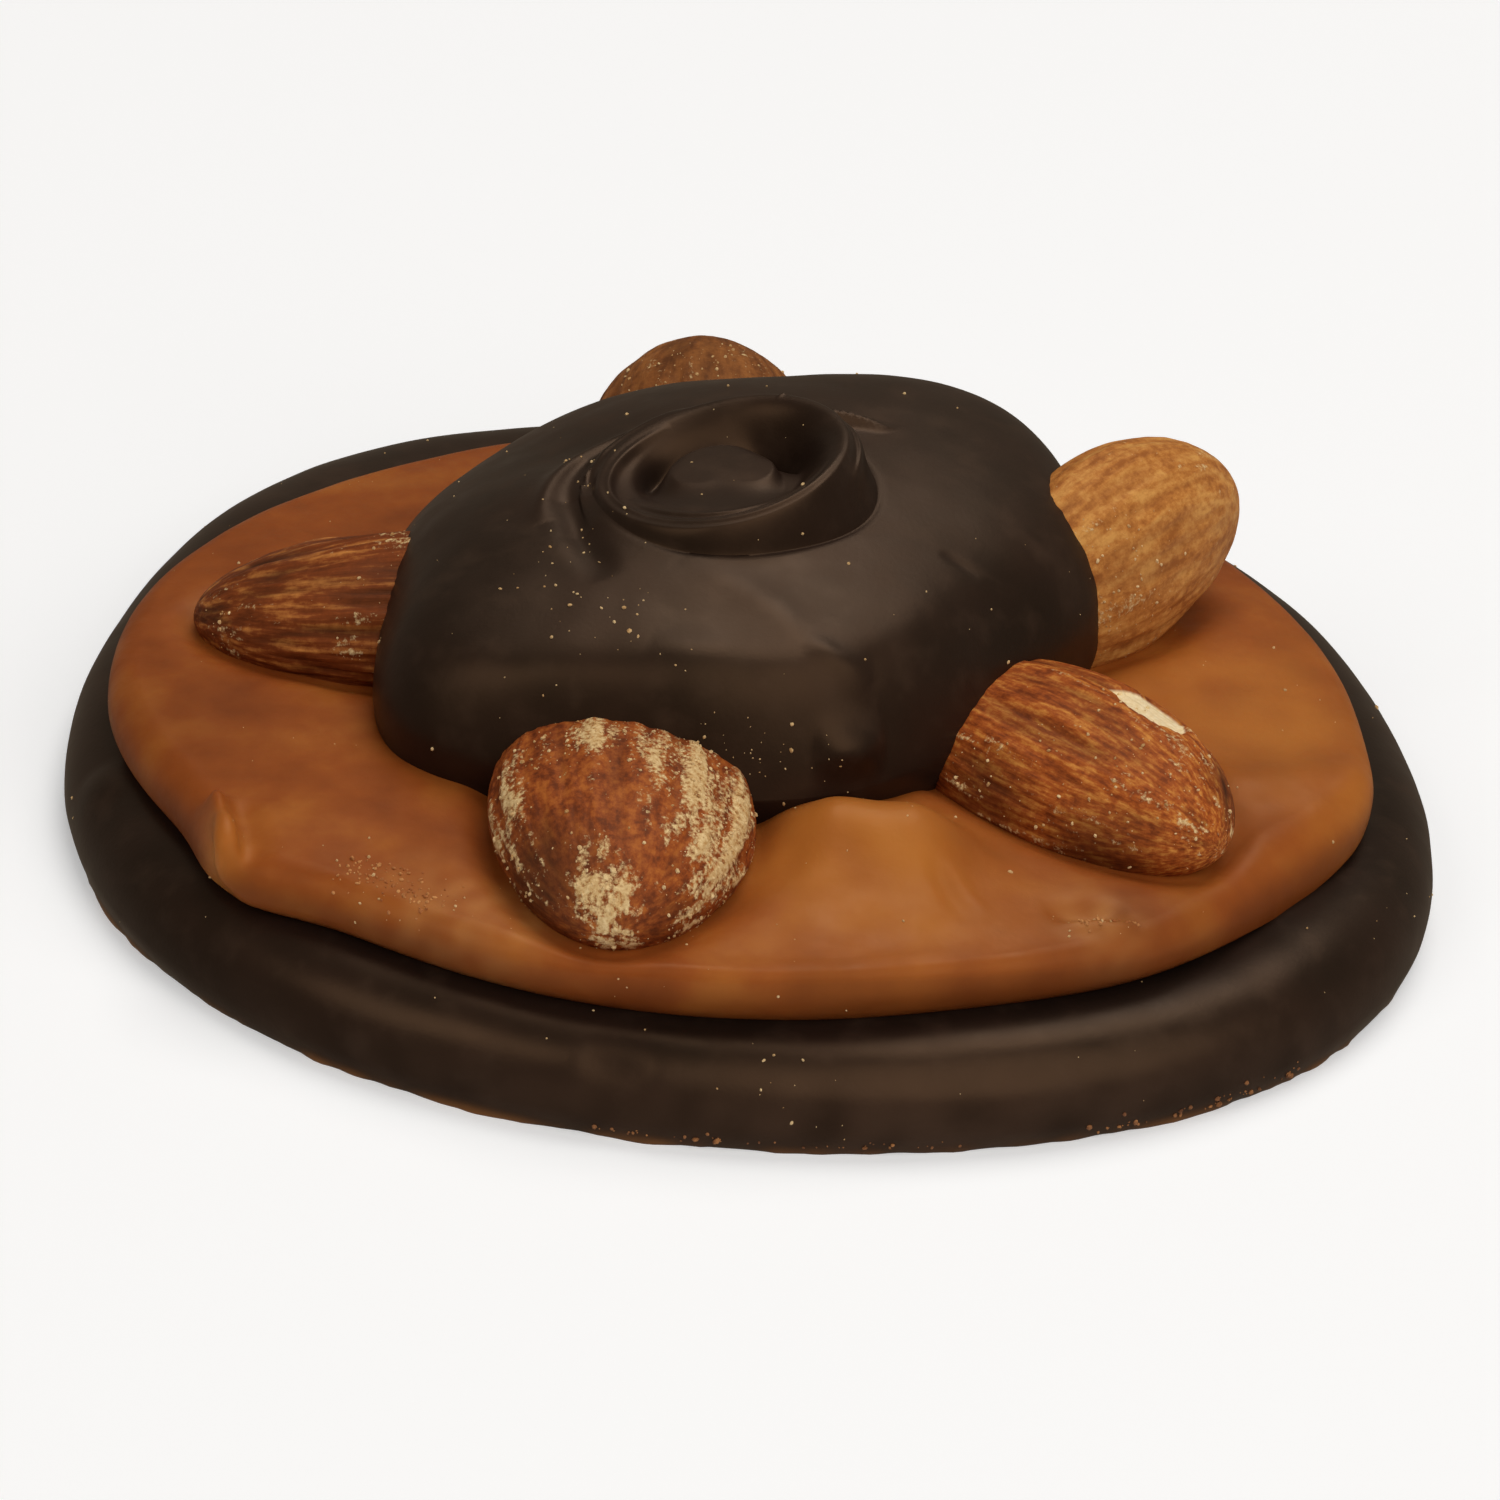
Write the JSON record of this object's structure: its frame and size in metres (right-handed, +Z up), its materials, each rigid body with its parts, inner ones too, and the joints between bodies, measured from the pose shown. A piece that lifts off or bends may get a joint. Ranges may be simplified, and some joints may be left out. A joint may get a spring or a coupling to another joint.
{
  "type": "bear paw candy",
  "caption": "Round chocolate candy: a dark chocolate disc, a poured caramel layer, roasted almonds set like claws and a chocolate dollop with a rosette.",
  "frame": {"origin": "middle of the disc's underside, on the surface that it stands on", "axes": "+Z up through the layers, +X to the right and -Y to the front as the picture shows it"},
  "size_m": [0.0742, 0.073, 0.023],
  "materials": {
    "dark_chocolate": "satin, moulded dark chocolate",
    "caramel": "soft gloss, poured caramel",
    "almond_skin": "matt, ridged roasted almond skin"
  },
  "bodies": {
    "root": {"chocolate_disc": "dark_chocolate", "caramel_layer": "caramel", "chocolate_dollop": "dark_chocolate", "almond_front_left": "almond_skin", "almond_front_right": "almond_skin", "almond_left": "almond_skin", "almond_right": "almond_skin", "almond_back": "almond_skin"}
  },
  "joints": []
}
